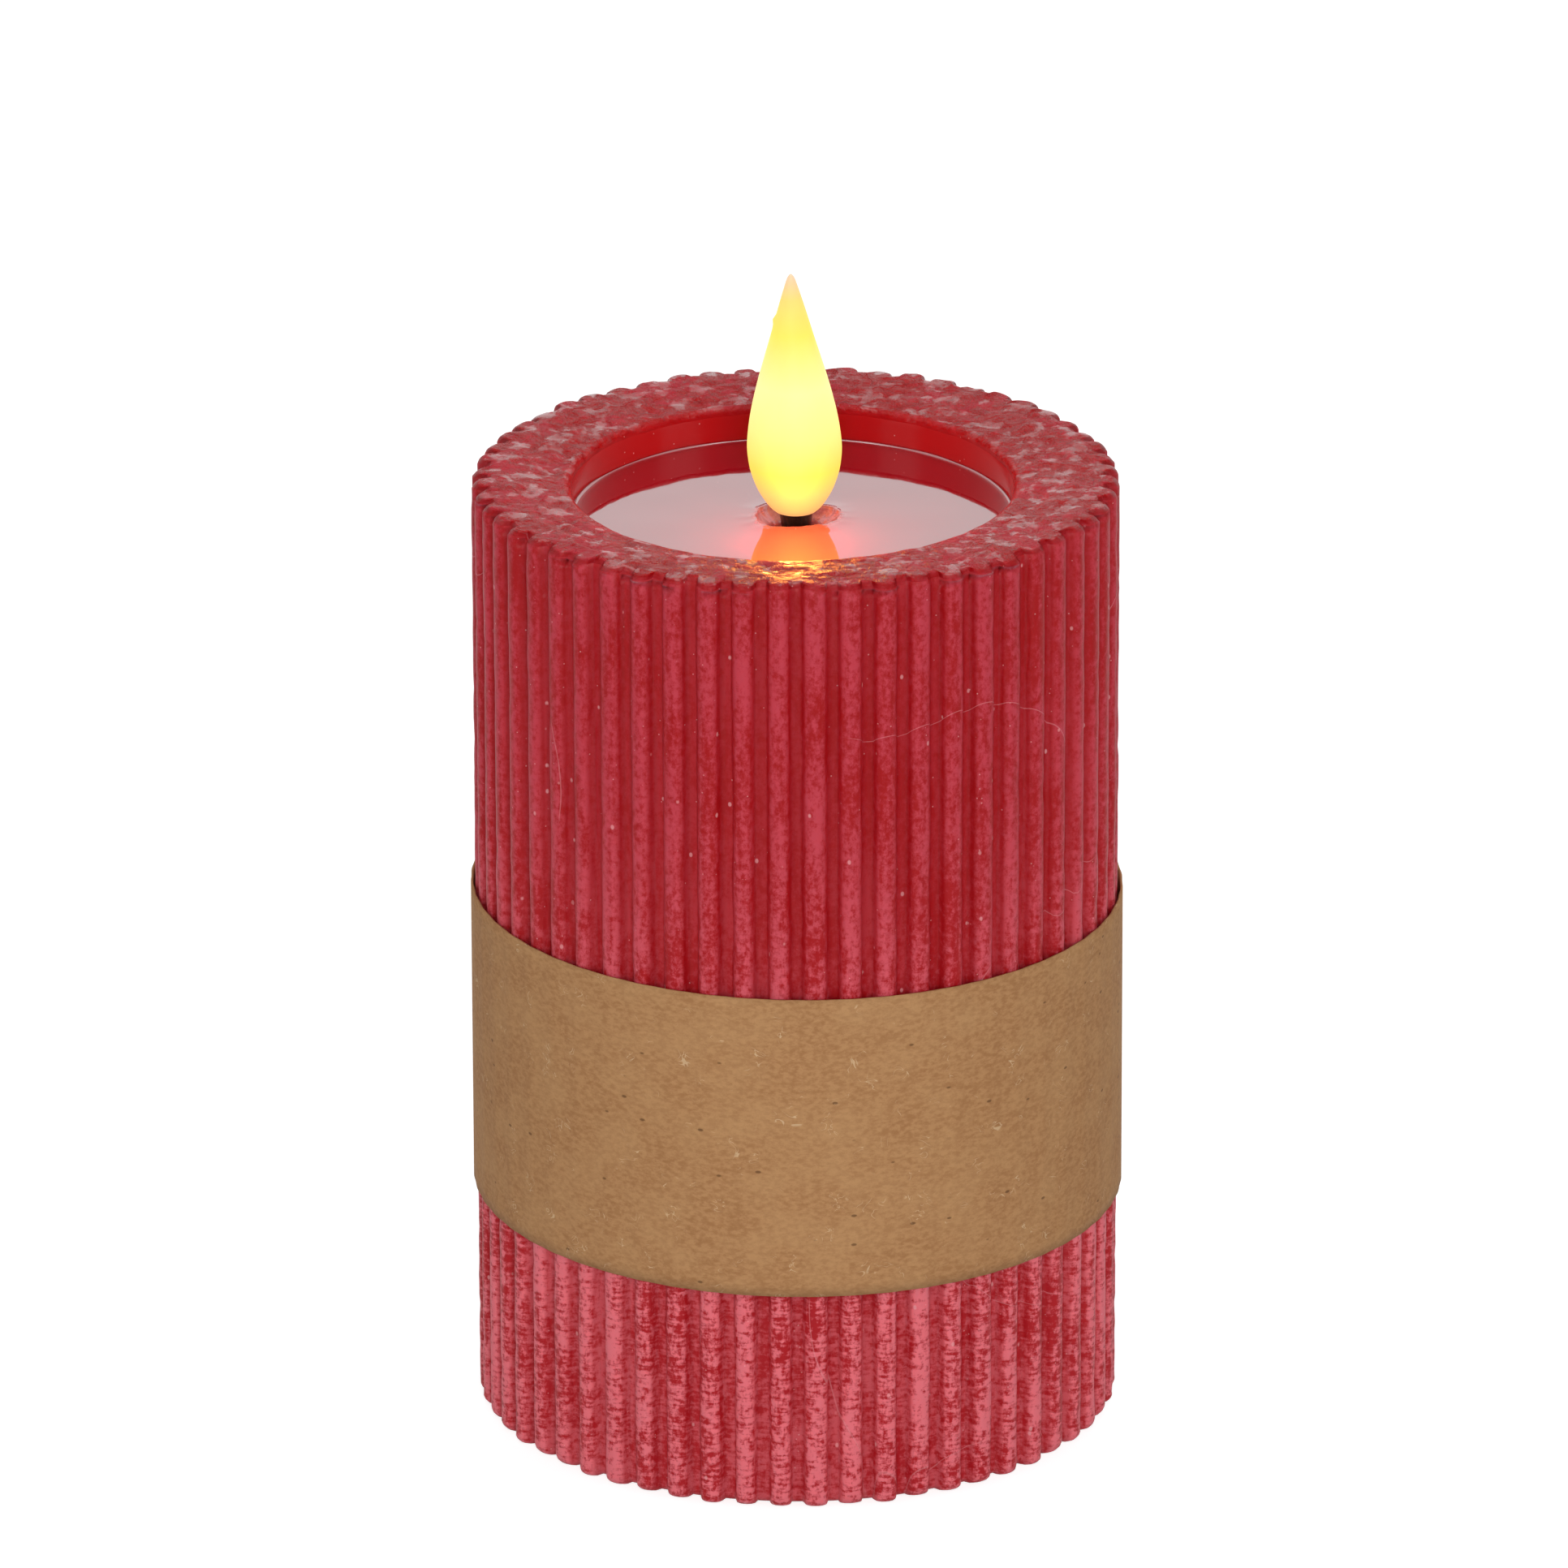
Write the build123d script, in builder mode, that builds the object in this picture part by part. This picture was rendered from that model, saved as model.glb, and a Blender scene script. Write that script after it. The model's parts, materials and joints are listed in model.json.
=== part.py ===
from build123d import *

import os
from math import cos, degrees, pi, radians, sin, tan

# Flameless LED pillar candle: a ribbed wax shell round a plastic battery core, with a
# flame-shaped bulb on a black wick and a paper band. Millimetres, +Z up. The origin is the
# centre of the face that the candle stands on, and -Y is its front.

# ---- Wax pillar -------------------------------------------------------------------------
pillar_d = 75.0
pillar_h = 114.0
rib_count = 56
rib_depth = 1.5
rib_crest_share = 0.62  # part of each rib's pitch that the rounded crest takes
rim_slope = 1.0  # how much lower the rim's inner edge is
recess_r = 25.5
recess_x = -0.4  # the recess was cast slightly off the axis
recess_depth = 5.5
pool_t = 3.0
crater_r = 4.9
wax_edge_r = 0.8

# ---- Core housing and its fits ----------------------------------------------------------
core_r = 26.2
core_wall = 1.6
core_top_t = 1.8
glue_gap = 0.3
slip = 0.2  # clearance between plastic parts that slide together
touch = 0.05  # gap left between contacts, cells and parts that bear on each other

# ---- Battery base -----------------------------------------------------------------------
base_recess = 2.0
flange_lip = 4.8  # how far the flange reaches past the core housing
flange_t = 2.0
deck_t = 1.6
well_wall = 1.6
well_y = -3.0
cell_r = 7.1
cell_len = 50.2
cell_nub_r = 2.7
cell_nub_h = 1.2
cell_gap = 0.5  # between the two cells
cell_clear = 0.3
contact_t = 0.4
contact_w = 9.0
spring_h = 4.0
spring_wire_r = 0.35
spring_r = 3.9
spring_turns = 3

# ---- Door, hinge and latch --------------------------------------------------------------
door_t = 2.0
door_side = 2.25  # how far the door reaches past the well, at the sides and the rear
door_rear = 2.3
door_clear = 0.3
door_rear_clear = 0.8
hinge_arm = 2.8
hinge_r = 1.4
hinge_half_x = 9.0
pin_r = 0.8
pin_fit = 0.05
pin_len = 2.2
latch_w = 8.0
latch_t = 1.2
latch_bend_r = 0.45  # inside radius of the latch's U bend
latch_rise = 4.0  # height of the bend's centre above the flange
latch_stand_off = 0.9  # from the well to the latch's post
latch_push = 1.0  # room behind the latch finger for its travel
catch_h = 0.8
catch_reach = 0.45

# ---- Switch -----------------------------------------------------------------------------
switch_edge = 5.6  # from the core housing's inside to the switch's centre line
switch_len = 9.2
switch_w = 4.4
switch_h = 5.0
switch_wall = 1.0
switch_travel = 4.0
pin_pitch = 2.5
pin_h = 1.8
knob_w = 1.8
knob_drop = 1.3  # how far the knob stands out of the base

# ---- Screws -----------------------------------------------------------------------------
boss_r = 3.0
boss_in_wall = 0.4  # how far each boss runs into the core housing's wall
boss_h = 12.0
boss_angles = (30.0, 150.0, 270.0)
screw_r = 1.1
screw_head_r = 2.2
screw_head_h = 1.3
screw_hole_clear = 0.25
thread_clear = 0.05
small_screw_r = 0.9
small_head_r = 1.8
small_head_h = 1.1

# ---- Control board ----------------------------------------------------------------------
board_side = 3.5  # how much longer and wider the board is than the well's inside
board_front = 5.2
board_t = 1.6
board_gap = 2.0
board_post_r = 2.2
board_screw_edge = 2.8

# ---- Flame, wick and holder -------------------------------------------------------------
flame_gap = 0.8  # between the pool and the flame's bottom
flame_h = 28.6
flame_r = 5.46
flame_wall = 1.0
flame_tip_r = 0.3
flame_lean = 1.0  # degrees, towards -X
stem_top_r = 1.98
stem_low_r = 1.6
stem_bore_r = 0.95
stem_in_flame = 2.0
holder_t = 2.0
holder_half_x = 14.0
holder_post_x = 11.0
holder_post_h = 6.0
holder_post_r = 2.4
socket_r = 4.0
led_r = 1.5
led_h = 4.5
lead_r = 0.25
lead_x = 0.55

# ---- Wires ------------------------------------------------------------------------------
wire_r = 0.55

# ---- Paper band -------------------------------------------------------------------------
band_low = 26.5
band_h = 37.1
band_t = 0.25
band_gap = 0.2
band_lap = 14.0  # length of the glued overlap

# ---- Heights and radii that follow ------------------------------------------------------
pillar_r = pillar_d / 2
valley_r = pillar_r - rib_depth
rib_pitch = 2 * pi * valley_r / rib_count
bore_r = core_r + glue_gap
pool_z = pillar_h - recess_depth
core_top = pool_z - pool_t
core_under = core_top - core_top_t
core_bore_r = core_r - core_wall
flange_top = base_recess + flange_t
deck_top = flange_top + deck_t
deck_r = core_bore_r - slip
cell_x = cell_r + cell_gap / 2
well_r = cell_r + cell_clear
well_len = 2 * (cell_x + well_r)
flange_r = core_r + flange_lip
boss_ring_r = core_bore_r - boss_r + boss_in_wall
switch_y = core_bore_r - switch_edge
board_x = well_len + board_side
board_y = 2 * well_r + board_front
board_screw_y = board_y / 2 - board_screw_edge
contacts_low = flange_top + contact_t
contacts_high = contacts_low + cell_len + spring_h + 2 * touch
well_ceiling = contacts_high + contact_t
well_top = well_ceiling + well_wall
board_z = well_top + board_gap
board_top = board_z + board_t
hinge_z = base_recess + hinge_r
door_half_x = well_len / 2 + door_side
door_rear_y = well_y + well_r + door_rear
hinge_y = door_rear_y + hinge_arm
post_y_in = well_y - well_r - well_wall - latch_stand_off
post_y_out = post_y_in - latch_t
latch_y_in = post_y_out - 2 * latch_bend_r
latch_y_out = latch_y_in - latch_t
door_front_y = latch_y_out - slip
latch_bend_z = flange_top + latch_rise
latch_axis_y = (latch_y_in + post_y_out) / 2
latch_notch = latch_y_in + latch_push - door_front_y
opening_half_x = door_half_x + door_clear
opening_rear_y = door_rear_y + door_rear_clear
catch_z = flange_top + slip
catch_y = latch_y_out - catch_reach
catch_swing = ((hinge_y - catch_y) ** 2 + (catch_z + catch_h - hinge_z) ** 2) ** 0.5
bend_swing = ((hinge_y - latch_axis_y) ** 2 + (latch_bend_z - hinge_z) ** 2) ** 0.5
latch_swing = max(catch_swing, bend_swing + latch_bend_r + latch_t)
opening_front_y = hinge_y - latch_swing - 0.1
holder_top = core_under - holder_post_h
holder_low = holder_top - holder_t
flame_low = pool_z + flame_gap
stem_top = flame_low + stem_in_flame
led_low = stem_top + touch
led_end = holder_low - 1.5
band_in_r = pillar_r + band_gap
band_out_r = band_in_r + band_t
knob_rest_x = -switch_travel / 2
chip_x = 8.5 - board_x / 2
pin_top = flange_top + switch_h + pin_h
boss_places = [(boss_ring_r * cos(radians(a)), boss_ring_r * sin(radians(a))) for a in boss_angles]
board_places = [(0, well_y - board_screw_y), (0, well_y + board_screw_y)]
holder_places = [(-holder_post_x, 0), (holder_post_x, 0)]

os.makedirs("parts", exist_ok=True)


def save(piece, name):
    """Label a finished piece and write it as one STEP file."""
    piece.label = name
    export_step(piece, f"parts/{name}.step")


# ---- Wax pillar: ribs outside, core bore from below, recess from above ------------------
with BuildPart() as wax_pillar:
    with BuildSketch():
        Circle(valley_r)
        with PolarLocations(valley_r, rib_count, start_angle=-90 + 180 / rib_count):
            Ellipse(rib_depth, rib_pitch * rib_crest_share / 2)
    extrude(amount=pillar_h)
    with BuildSketch(Plane.XZ):
        with BuildLine():
            Polyline(
                (0, pillar_h - rim_slope),
                (recess_r, pillar_h - rim_slope),
                (valley_r - rib_depth, pillar_h),
                (pillar_r + 1, pillar_h),
                (pillar_r + 1, pillar_h + 1),
                (0, pillar_h + 1),
                close=True,
            )
        make_face()
    revolve(axis=Axis.Z, mode=Mode.SUBTRACT)
    with BuildSketch(Plane.XZ):
        with BuildLine():
            Polyline(
                (pillar_r - wax_edge_r, 0),
                (pillar_r + 1, 0),
                (pillar_r + 1, wax_edge_r + 1),
                close=True,
            )
        make_face()
    revolve(axis=Axis.Z, mode=Mode.SUBTRACT)
    with BuildSketch():
        Circle(flange_r + glue_gap)
    extrude(amount=flange_top, mode=Mode.SUBTRACT)
    with BuildSketch():
        Circle(bore_r)
    extrude(amount=core_top, mode=Mode.SUBTRACT)
    with BuildSketch(Plane.XY.offset(core_top)):
        with Locations((recess_x, 0)):
            Circle(recess_r)
    extrude(amount=pillar_h, mode=Mode.SUBTRACT)
save(wax_pillar.part, "wax_pillar")

# ---- Pool layer: poured wax that closes the recess --------------------------------------
with BuildPart() as pool_disc:
    with BuildSketch(Plane.XY.offset(core_top)):
        with Locations((recess_x, 0)):
            Circle(recess_r - touch)
        Circle(crater_r, mode=Mode.SUBTRACT)
    extrude(amount=pool_t)
save(pool_disc.part, "pool_disc")

# ---- Paper band with its glued lap at the back ------------------------------------------
lap_angle = degrees(band_lap / band_out_r)
with BuildPart() as kraft_band:
    with BuildSketch(Plane.XY.offset(band_low)):
        Circle(band_out_r)
        Circle(band_in_r, mode=Mode.SUBTRACT)
    extrude(amount=band_h)
    with BuildSketch(Plane.XZ):
        with Locations((band_out_r + band_t / 2, band_low + band_h / 2)):
            Rectangle(band_t, band_h)
    revolve(axis=Axis.Z, revolution_arc=lap_angle)
save(kraft_band.part.rotate(Axis.Z, 90 - lap_angle / 2), "kraft_band")

# ---- Core housing: closed cup, open below, glued into the wax ---------------------------
with BuildPart() as core_housing:
    with BuildSketch(Plane.XY.offset(flange_top)):
        Circle(core_r)
    extrude(amount=core_top - flange_top)
    with BuildSketch(Plane.XY.offset(flange_top)):
        Circle(core_bore_r)
    extrude(amount=core_under - flange_top, mode=Mode.SUBTRACT)
    with BuildSketch(Plane.XY.offset(core_under)):
        Circle(stem_top_r + slip)
    extrude(amount=core_top_t, mode=Mode.SUBTRACT)
    with BuildSketch(Plane.XY.offset(deck_top)):
        with Locations(*boss_places):
            Circle(boss_r)
            Circle(screw_r + thread_clear, mode=Mode.SUBTRACT)
    extrude(amount=boss_h)
    with BuildSketch(Plane.XY.offset(holder_top)):
        with Locations(*holder_places):
            Circle(holder_post_r)
            Circle(small_screw_r + thread_clear, mode=Mode.SUBTRACT)
    extrude(amount=holder_post_h)
save(core_housing.part, "core_housing")

# ---- Battery base: flange, deck, cell well, switch pocket and hinge ears ----------------
with BuildPart() as battery_base:
    with BuildSketch(Plane.XY.offset(base_recess)):
        Circle(flange_r)
    extrude(amount=flange_t)
    with BuildSketch(Plane.XY.offset(flange_top)):
        Circle(deck_r)
    extrude(amount=deck_t)
    # The well stands on the deck and is closed above the cells.
    with BuildSketch(Plane.XY.offset(deck_top)):
        with Locations((0, well_y)):
            SlotOverall(well_len + 2 * well_wall, 2 * (well_r + well_wall))
    extrude(amount=well_top - deck_top)
    with BuildSketch(Plane.XY.offset(well_top)):
        with Locations(*board_places):
            Circle(board_post_r)
    extrude(amount=board_gap)
    with BuildSketch(Plane.XY.offset(flange_top)):
        with Locations((0, well_y)):
            SlotOverall(well_len, 2 * well_r)
    extrude(amount=well_ceiling - flange_top, mode=Mode.SUBTRACT)
    # The door lies in the flange, and its hinge and latch pass the deck too.
    with BuildSketch(Plane.XY.offset(base_recess)):
        with Locations((0, (opening_front_y + opening_rear_y) / 2)):
            Rectangle(2 * opening_half_x, opening_rear_y - opening_front_y)
    extrude(amount=flange_t, mode=Mode.SUBTRACT)
    with BuildSketch(Plane.XY.offset(base_recess)):
        with Locations((0, (opening_rear_y + hinge_y + hinge_r + door_clear) / 2)):
            Rectangle(2 * (hinge_half_x + door_clear), hinge_y + hinge_r + door_clear - opening_rear_y)
        with Locations((0, (opening_front_y + post_y_in + door_clear) / 2)):
            Rectangle(latch_w + 1.5, post_y_in + door_clear - opening_front_y)
    extrude(amount=flange_t + deck_t, mode=Mode.SUBTRACT)
    with BuildSketch(Plane.YZ.offset(-hinge_half_x - pin_len - slip)):
        with Locations((hinge_y, hinge_z)):
            Circle(pin_r + pin_fit)
    extrude(amount=2 * (hinge_half_x + pin_len + slip), mode=Mode.SUBTRACT)
    # The barrel's arms swing past the deck's edge in front of the hinge.
    with BuildSketch(Plane.XY.offset(flange_top)):
        with Locations((0, (opening_rear_y + well_y + well_r + well_wall) / 2)):
            Rectangle(2 * (hinge_half_x + door_clear), opening_rear_y - well_y - well_r - well_wall)
    extrude(amount=deck_t, mode=Mode.SUBTRACT)
    # Switch: a pocket in the deck for its body and a slot in the flange for its knob.
    with BuildSketch(Plane.XY.offset(flange_top)):
        with Locations((0, switch_y)):
            Rectangle(switch_len + 2 * slip, switch_w + 2 * slip)
    extrude(amount=deck_t, mode=Mode.SUBTRACT)
    with BuildSketch(Plane.XY.offset(base_recess)):
        with Locations((0, switch_y)):
            Rectangle(switch_travel + knob_w + 2 * slip, knob_w + 2 * slip)
    extrude(amount=flange_t, mode=Mode.SUBTRACT)
    # Screw holes with counterbored seats, and pilot holes in the board's posts.
    with BuildSketch(Plane.XY.offset(base_recess)):
        with Locations(*boss_places):
            Circle(screw_r + screw_hole_clear)
    extrude(amount=flange_t + deck_t, mode=Mode.SUBTRACT)
    with BuildSketch(Plane.XY.offset(base_recess)):
        with Locations(*boss_places):
            Circle(screw_head_r + slip)
    extrude(amount=screw_head_h + slip, mode=Mode.SUBTRACT)
    with BuildSketch(Plane.XY.offset(well_top)):
        with Locations(*board_places):
            Circle(small_screw_r + thread_clear)
    extrude(amount=board_gap, mode=Mode.SUBTRACT)
    # Slots in the ceiling for the solder tabs of the upper contacts.
    with BuildSketch(Plane.XY.offset(well_ceiling)):
        with Locations((-cell_x, well_y), (cell_x, well_y)):
            Rectangle(2 + 2 * slip, contact_t + 2 * slip)
    extrude(amount=well_wall, mode=Mode.SUBTRACT)
save(battery_base.part, "battery_base")

# ---- Battery door: plate, hinge barrel with pins, and the latch's root post -------------
with BuildPart() as battery_door:
    with BuildSketch(Plane.XY.offset(base_recess)):
        with Locations((0, (door_front_y + door_rear_y) / 2)):
            RectangleRounded(2 * door_half_x, door_rear_y - door_front_y, 0.6)
        with Locations((0, (door_rear_y - 1 + hinge_y) / 2)):
            Rectangle(2 * hinge_half_x, hinge_y - door_rear_y + 1)
        with Locations((0, door_front_y + (latch_notch - 1) / 2)):
            Rectangle(latch_w + 2 * door_clear, latch_notch + 1, mode=Mode.SUBTRACT)
    extrude(amount=door_t)
    with BuildSketch(Plane.YZ.offset(-hinge_half_x)):
        with Locations((hinge_y, hinge_z)):
            Circle(hinge_r)
    extrude(amount=2 * hinge_half_x)
    with BuildSketch(Plane.YZ.offset(-hinge_half_x - pin_len)):
        with Locations((hinge_y, hinge_z)):
            Circle(pin_r)
    extrude(amount=2 * (hinge_half_x + pin_len))
    with BuildSketch(Plane.XY.offset(base_recess + door_t)):
        with Locations((0, (post_y_out + post_y_in) / 2)):
            Rectangle(latch_w, latch_t)
    extrude(amount=latch_bend_z - touch - base_recess - door_t)
save(battery_door.part, "battery_door")

# ---- Latch tab: U bend on top of the post, finger and catch in front --------------------
bend_out_r = latch_bend_r + latch_t
with BuildPart() as latch_tab:
    with BuildSketch(Plane.YZ.offset(-latch_w / 2)):
        with BuildLine():
            Line((post_y_in, latch_bend_z), (post_y_out, latch_bend_z))
            ThreePointArc(
                (post_y_out, latch_bend_z),
                (latch_axis_y, latch_bend_z + latch_bend_r),
                (latch_y_in, latch_bend_z),
            )
            Polyline(
                (latch_y_in, latch_bend_z),
                (latch_y_in, base_recess),
                (latch_y_out, base_recess),
                (latch_y_out, catch_z),
                (catch_y, catch_z),
                (catch_y, catch_z + catch_h / 2),
                (latch_y_out, catch_z + catch_h + catch_reach),
                (latch_y_out, latch_bend_z),
            )
            ThreePointArc(
                (latch_y_out, latch_bend_z),
                (latch_axis_y, latch_bend_z + bend_out_r),
                (post_y_in, latch_bend_z),
            )
        make_face()
    extrude(amount=latch_w)
save(latch_tab.part, "latch_tab")

# ---- AA cells: the left one stands with its button up, the right one with it down -------
cell_low = {"left": contacts_low + spring_h + touch, "right": contacts_low + touch}
for side, sign in (("left", -1), ("right", 1)):
    low = cell_low[side]
    body_low = low if side == "left" else low + cell_nub_h
    nub_low = low if side == "right" else low + cell_len - cell_nub_h
    with BuildPart() as cell:
        with BuildSketch(Plane.XY.offset(body_low)):
            with Locations((sign * cell_x, well_y)):
                Circle(cell_r)
        extrude(amount=cell_len - cell_nub_h)
        fillet(cell.edges().filter_by(GeomType.CIRCLE), 0.5)
        with BuildSketch(Plane.XY.offset(nub_low)):
            with Locations((sign * cell_x, well_y)):
                Circle(cell_nub_r)
        extrude(amount=cell_nub_h)
    save(cell.part, f"aa_cell_{side}")

# ---- Contacts ---------------------------------------------------------------------------
with BuildPart() as door_contact:
    with BuildSketch(Plane.XY.offset(flange_top)):
        with Locations((0, well_y)):
            SlotOverall(2 * cell_x + contact_w, contact_w)
    extrude(amount=contact_t)
save(door_contact.part, "door_contact")

for name, sign in (("positive_contact", -1), ("negative_contact", 1)):
    with BuildPart() as contact:
        with BuildSketch(Plane.XY.offset(contacts_high)):
            with Locations((sign * cell_x, well_y)):
                RectangleRounded(contact_w, contact_w, 1.0)
        extrude(amount=contact_t)
        with BuildSketch(Plane.XY.offset(well_ceiling)):
            with Locations((sign * cell_x, well_y)):
                Rectangle(2, contact_t)
        extrude(amount=board_z - well_ceiling)
    save(contact.part, name)


def make_spring(name, x, seat_z, grow):
    """A coil of wire that stands on seat_z and rises (grow 1) or hangs from it (grow -1)."""
    rise = spring_h - 2 * spring_wire_r
    centre = Vector(x, well_y, seat_z + grow * spring_wire_r)
    with BuildPart() as coil:
        with BuildLine():
            path = Helix(
                pitch=rise / spring_turns,
                height=rise,
                radius=spring_r,
                center=centre,
                direction=(0, 0, grow),
            )
        with BuildSketch(Plane(path @ 0, z_dir=path % 0)):
            Circle(spring_wire_r)
        sweep(path=path, is_frenet=True)
    save(coil.part, name)


make_spring("door_spring", -cell_x, contacts_low, 1)
make_spring("negative_spring", cell_x, contacts_high, -1)

# ---- Slide switch -----------------------------------------------------------------------
with BuildPart() as switch_body:
    with BuildSketch(Plane.XY.offset(flange_top)):
        with Locations((0, switch_y)):
            Rectangle(switch_len, switch_w)
    extrude(amount=switch_h)
    with BuildSketch(Plane.XY.offset(flange_top)):
        with Locations((0, switch_y)):
            Rectangle(switch_travel + knob_w + 2 * slip, knob_w + 2 * slip)
    extrude(amount=switch_h - switch_wall, mode=Mode.SUBTRACT)
save(switch_body.part, "switch_body")

with BuildPart() as switch_pins:
    with BuildSketch(Plane.XY.offset(flange_top + switch_h)):
        with Locations((-pin_pitch, switch_y), (0, switch_y), (pin_pitch, switch_y)):
            Rectangle(0.6, 0.5)
    extrude(amount=pin_h)
save(switch_pins.part, "switch_pins")

with BuildPart() as switch_knob:
    with BuildSketch(Plane.XY.offset(base_recess - knob_drop)):
        with Locations((knob_rest_x, switch_y)):
            Rectangle(knob_w, knob_w)
    extrude(amount=knob_drop + flange_t + switch_h - switch_wall - slip)
    knob_foot = switch_knob.edges().group_by(Axis.Z)[0]
    chamfer(knob_foot, 0.25)
save(switch_knob.part, "switch_knob")

# ---- Control board and what is soldered to it -------------------------------------------
with BuildPart() as control_board:
    with BuildSketch(Plane.XY.offset(board_z)):
        with Locations((0, well_y)):
            RectangleRounded(board_x, board_y, 1.5)
        with Locations(*board_places):
            Circle(small_screw_r + screw_hole_clear, mode=Mode.SUBTRACT)
    extrude(amount=board_t)
save(control_board.part, "control_board")

with BuildPart() as controller_chip:
    with BuildSketch(Plane.XY.offset(board_top + 0.3)):
        with Locations((chip_x, well_y)):
            Rectangle(5, 4)
    extrude(amount=1.4)
    with BuildSketch(Plane.XY.offset(board_top)):
        with Locations((chip_x, well_y)):
            with GridLocations(1.27, 5.2, 4, 2):
                Rectangle(0.4, 1.4)
    extrude(amount=0.6)
save(controller_chip.part, "controller_chip")

with BuildPart() as timer_crystal:
    with BuildSketch(Plane.XY.offset(board_top)):
        with Locations((chip_x - 4, well_y + board_y / 2 - 4)):
            SlotOverall(6, 2)
    extrude(amount=2)
save(timer_crystal.part, "timer_crystal")

with BuildPart() as capacitor:
    with BuildSketch(Plane.XY.offset(board_top)):
        with Locations((board_x / 2 - 7.5, well_y - board_y / 2 + 6)):
            Circle(2.5)
    extrude(amount=7)
    fillet(capacitor.edges().group_by(Axis.Z)[-1], 0.4)
save(capacitor.part, "capacitor")

with BuildPart() as resistors:
    with BuildSketch(Plane.XY.offset(board_top)):
        with Locations((board_x / 2 - 4.5, well_y + 3)):
            with GridLocations(0, 2.5, 1, 3):
                Rectangle(2, 1.25)
    extrude(amount=0.6)
save(resistors.part, "resistors")


def make_screws(name, places, shank_r, shank_h, head_r, head_h, seat_z, up):
    """Identical cross-head screws that seat at seat_z; their shanks point up (1) or down (-1)."""
    with BuildPart() as screws:
        with BuildSketch(Plane.XY.offset(seat_z)):
            with Locations(*places):
                Circle(shank_r)
        extrude(amount=up * shank_h)
        with BuildSketch(Plane.XY.offset(seat_z)):
            with Locations(*places):
                Circle(head_r)
        extrude(amount=-up * head_h)
        with BuildSketch(Plane.XY.offset(seat_z - up * head_h)):
            with Locations(*places):
                Rectangle(head_r * 1.1, head_r * 0.3)
                Rectangle(head_r * 0.3, head_r * 1.1)
        extrude(amount=up * head_h / 2, mode=Mode.SUBTRACT)
    save(screws.part, name)


base_seat = base_recess + screw_head_h + slip
make_screws("base_screws", boss_places, screw_r, 10.0, screw_head_r, screw_head_h, base_seat, 1)
make_screws("board_screws", board_places, small_screw_r, board_t + board_gap, small_head_r,
            small_head_h, board_top, -1)
make_screws("holder_screws", holder_places, small_screw_r, holder_t + 4.0, small_head_r,
            small_head_h, holder_low, 1)

# ---- Flame holder: a bridge under the core's top with a socket for the wick -------------
with BuildPart() as flame_holder:
    with BuildSketch(Plane.XY.offset(holder_low)):
        SlotOverall(2 * holder_half_x, 2 * socket_r)
        with Locations(*holder_places):
            Circle(small_screw_r + screw_hole_clear, mode=Mode.SUBTRACT)
    extrude(amount=holder_t)
    with BuildSketch(Plane.XY.offset(holder_top)):
        Circle(socket_r)
    extrude(amount=holder_post_h - slip)
    with BuildSketch(Plane.XY.offset(holder_low + 1)):
        Circle(stem_low_r + touch)
    extrude(amount=holder_t + holder_post_h, mode=Mode.SUBTRACT)
    with BuildSketch(Plane.XY.offset(holder_low)):
        Circle(stem_bore_r)
    extrude(amount=holder_t, mode=Mode.SUBTRACT)
save(flame_holder.part, "flame_holder")

# ---- Wick: a black tube, wider at the flame --------------------------------------------
with BuildPart() as flame_stem:
    with BuildSketch(Plane.XZ):
        with BuildLine():
            Polyline(
                (stem_bore_r, holder_low + 1),
                (stem_low_r, holder_low + 1),
                (stem_low_r, core_top),
                (stem_top_r, flame_low - 0.3),
                (stem_top_r, stem_top),
                (stem_bore_r, stem_top),
                close=True,
            )
        make_face()
    revolve(axis=Axis.Z)
save(flame_stem.part, "flame_stem")

# ---- Flame: hollow teardrop, leaning a little, open where the wick enters ---------------
lean = radians(flame_lean)
flame_plane = Plane(origin=(0, 0, flame_low), x_dir=(cos(lean), 0, sin(lean)), z_dir=(0, -1, 0))
flame_axis = Axis((0, 0, flame_low), (-sin(lean), 0, cos(lean)))
flame_neck = stem_top_r + 0.15
flame_belly = 0.267 * flame_h
with BuildPart() as flame_shell:
    with BuildSketch(flame_plane):
        with BuildLine():
            Polyline((flame_neck, flame_wall), (flame_neck, 0), (flame_neck + 0.5, 0))
            Spline((flame_neck + 0.5, 0), (flame_r, flame_belly), tangents=((1, 0.25), (0, 1)))
            Spline(
                (flame_r, flame_belly),
                (0.70 * flame_r, 0.575 * flame_h),
                (0.34 * flame_r, 0.82 * flame_h),
                (flame_tip_r, flame_h),
                tangents=((0, 1), (-0.35, 1)),
            )
            Polyline((flame_tip_r, flame_h), (0, flame_h), (0, 0.88 * flame_h))
            Spline(
                (0, 0.88 * flame_h),
                (0.70 * flame_r - flame_wall, 0.575 * flame_h),
                (flame_r - flame_wall, flame_belly),
                tangents=((0.3, -1), (0, -1)),
            )
            Spline(
                (flame_r - flame_wall, flame_belly),
                (flame_neck, flame_wall),
                tangents=((0, -1), (-1, -0.6)),
            )
        make_face()
    revolve(axis=flame_axis)
save(flame_shell.part, "flame_shell")

# ---- LED and its leads ------------------------------------------------------------------
with BuildPart() as flame_led:
    with BuildSketch(Plane.XY.offset(led_low)):
        Circle(led_r)
    extrude(amount=led_h)
    fillet(flame_led.edges().group_by(Axis.Z)[-1], led_r * 0.95)
save(flame_led.part, "flame_led")

with BuildPart() as led_leads:
    with BuildSketch(Plane.XY.offset(led_end)):
        with Locations((-lead_x, 0), (lead_x, 0)):
            Circle(lead_r)
    extrude(amount=led_low - led_end)
save(led_leads.part, "led_leads")


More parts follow.
